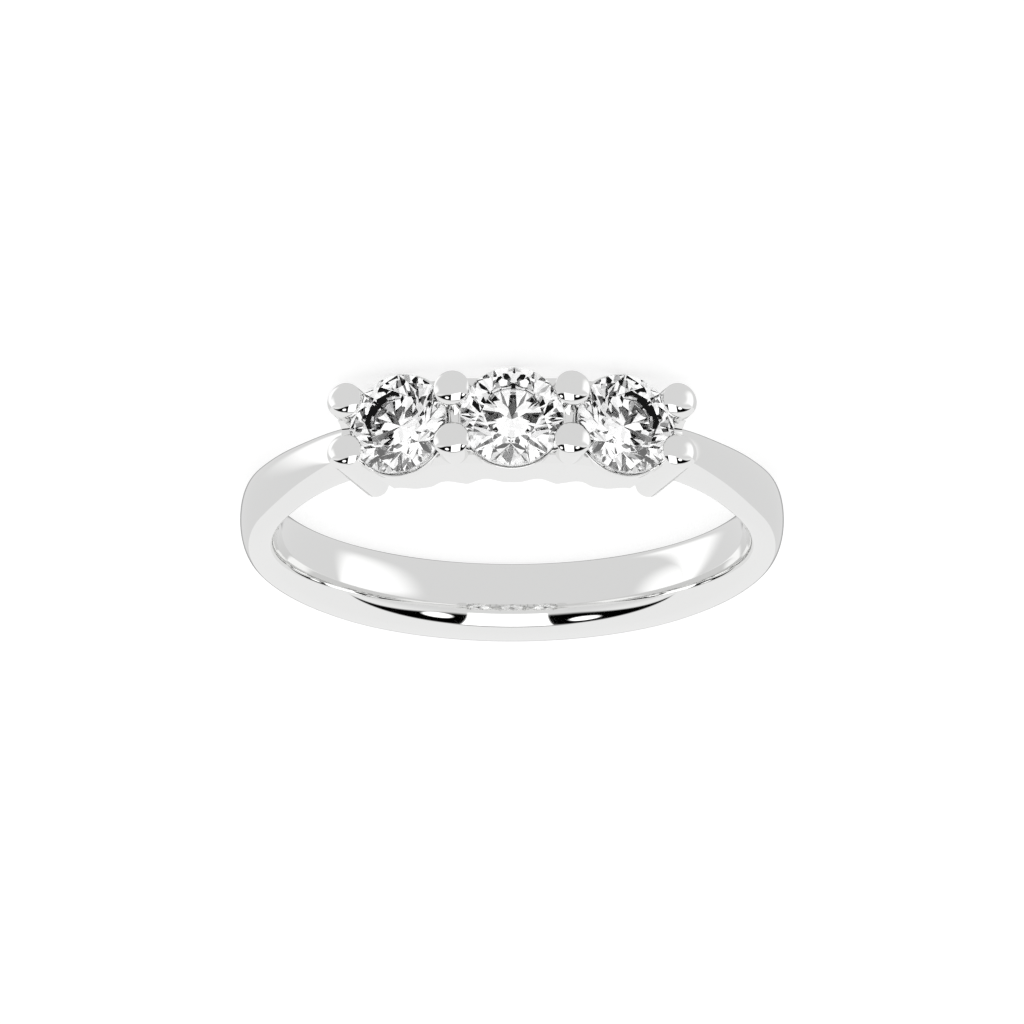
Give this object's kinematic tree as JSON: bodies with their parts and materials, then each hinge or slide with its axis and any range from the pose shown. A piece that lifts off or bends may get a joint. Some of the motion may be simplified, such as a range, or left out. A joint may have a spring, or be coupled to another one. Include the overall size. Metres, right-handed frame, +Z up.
{
  "type": "three stone ring",
  "caption": "Finger ring with a row of round brilliant stones between shared round prongs, on a domed band that narrows towards its setting.",
  "frame": {"origin": "centre of the finger bore", "axes": "+Z up from the surface that the ring lies on, +Y from the stones towards the back of the band, +X along the row of stones. The bore's axis leans from +Z by the small angle at which the ring rests."},
  "size_m": [0.0202, 0.0222, 0.004],
  "materials": {
    "white_gold": "mirror-polished white gold",
    "stone": "cut and polished colourless stone"
  },
  "bodies": {
    "root": {"ring_mount": "white_gold", "centre_stone": "stone", "left_stone": "stone", "right_stone": "stone"}
  },
  "joints": []
}
